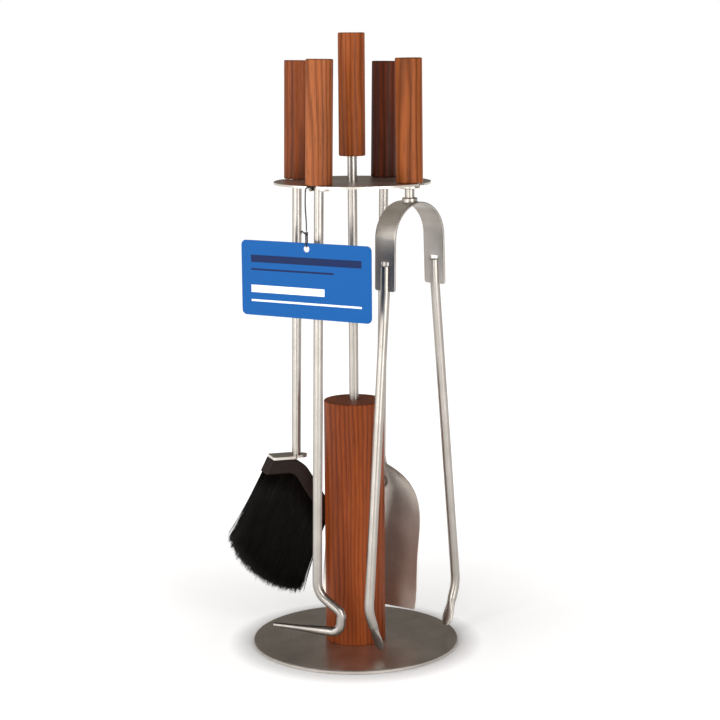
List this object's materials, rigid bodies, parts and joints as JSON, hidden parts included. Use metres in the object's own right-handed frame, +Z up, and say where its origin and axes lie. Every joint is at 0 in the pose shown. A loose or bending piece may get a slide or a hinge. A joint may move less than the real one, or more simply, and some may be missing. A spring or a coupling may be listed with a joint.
{
  "type": "fireplace tool set",
  "caption": "Round stand with a wooden column and a slotted hanging disc that carries a hooked poker, spring tongs, a shovel and an angled brush by their wooden handles.",
  "frame": {"origin": "middle of the underside of the base, on the floor", "axes": "+Z up along the centre rod; the poker hangs on the -Y side, the tongs on +X, the shovel on +Y and the brush on -X"},
  "size_m": [0.2141, 0.2, 0.5878],
  "materials": {
    "satin_steel": "satin stainless steel, slightly warm",
    "spring_steel": "brushed spring steel",
    "blade_steel": "satin sheet steel",
    "screw_steel": "plain machined steel",
    "insert_brass": "turned brass",
    "column_wood": "oiled hardwood, reddish brown",
    "handle_wood": "oiled walnut-like hardwood with darker streaks",
    "block_lacquer": "very dark brown, nearly black, satin",
    "bristle": "stiff dark bristle",
    "cord": "black twisted cord",
    "card": "blue printed card",
    "felt": "dark felt"
  },
  "bodies": {
    "stand": {"base_plate": "satin_steel", "base_felt": "felt", "base_screw": "screw_steel", "column": "column_wood", "lower_rod": "satin_steel", "joining_stud": "screw_steel", "hanging_disc": "satin_steel", "upper_rod": "satin_steel", "carry_handle": "handle_wood", "carry_insert": "insert_brass"},
    "poker": {"poker_handle": "handle_wood", "poker_insert": "insert_brass", "poker_shaft": "satin_steel", "cord_hitch": "cord"},
    "tag": {"tag_cord": "cord", "tag_knot": "cord", "tag_tie": "cord", "hang_tag": "card"},
    "tongs": {"tongs_handle": "handle_wood", "tongs_insert": "insert_brass", "tongs_neck": "satin_steel", "tongs_screw": "screw_steel", "tongs_spring": "spring_steel"},
    "tongs_left": {"tongs_arm_left": "satin_steel"},
    "tongs_right": {"tongs_arm_right": "satin_steel"},
    "shovel": {"shovel_handle": "handle_wood", "shovel_insert": "insert_brass", "shovel_shaft": "satin_steel", "shovel_blade": "blade_steel", "shovel_bolt": "screw_steel", "shovel_nut": "screw_steel"},
    "brush": {"brush_handle": "handle_wood", "brush_insert": "insert_brass", "brush_shaft": "satin_steel", "brush_bracket": "satin_steel", "brush_block": "block_lacquer", "brush_bristles": "bristle", "brush_screws": "screw_steel"}
  },
  "joints": [
    {"name": "poker_lift", "type": "slide", "parent": "stand", "child": "poker", "axis": [0, -0.9659, 0.2588], "range_m": [0, 0.2]},
    {"name": "tongs_lift", "type": "slide", "parent": "stand", "child": "tongs", "axis": [0.9659, 0, 0.2588], "range_m": [0, 0.2]},
    {"name": "shovel_lift", "type": "slide", "parent": "stand", "child": "shovel", "axis": [0, 0.9659, 0.2588], "range_m": [0, 0.2]},
    {"name": "brush_lift", "type": "slide", "parent": "stand", "child": "brush", "axis": [-0.9659, 0, 0.2588], "range_m": [0, 0.2]},
    {"name": "tag_swing", "type": "hinge", "parent": "poker", "child": "tag", "pos_m": [-0.005, -0.0765, 0.446], "axis": [-1, 0, 0], "range_deg": [-4, 50]},
    {"name": "tongs_squeeze", "type": "hinge", "parent": "tongs", "child": "tongs_left", "pos_m": [0.05305, -0.03188, 0.399], "axis": [0.9703, -0.2419, 0], "range_deg": [0, 6.6], "stiffness_Nm_per_rad": 20},
    {"name": "tongs_squeeze_right", "type": "hinge", "parent": "tongs", "child": "tongs_right", "pos_m": [0.06921, 0.03293, 0.3997], "axis": [-0.9703, 0.2419, 0], "range_deg": [0, 6.6], "stiffness_Nm_per_rad": 20}
  ],
  "couplings": [
    {"joint": "tongs_squeeze_right", "follows": "tongs_squeeze", "ratio": 1}
  ]
}
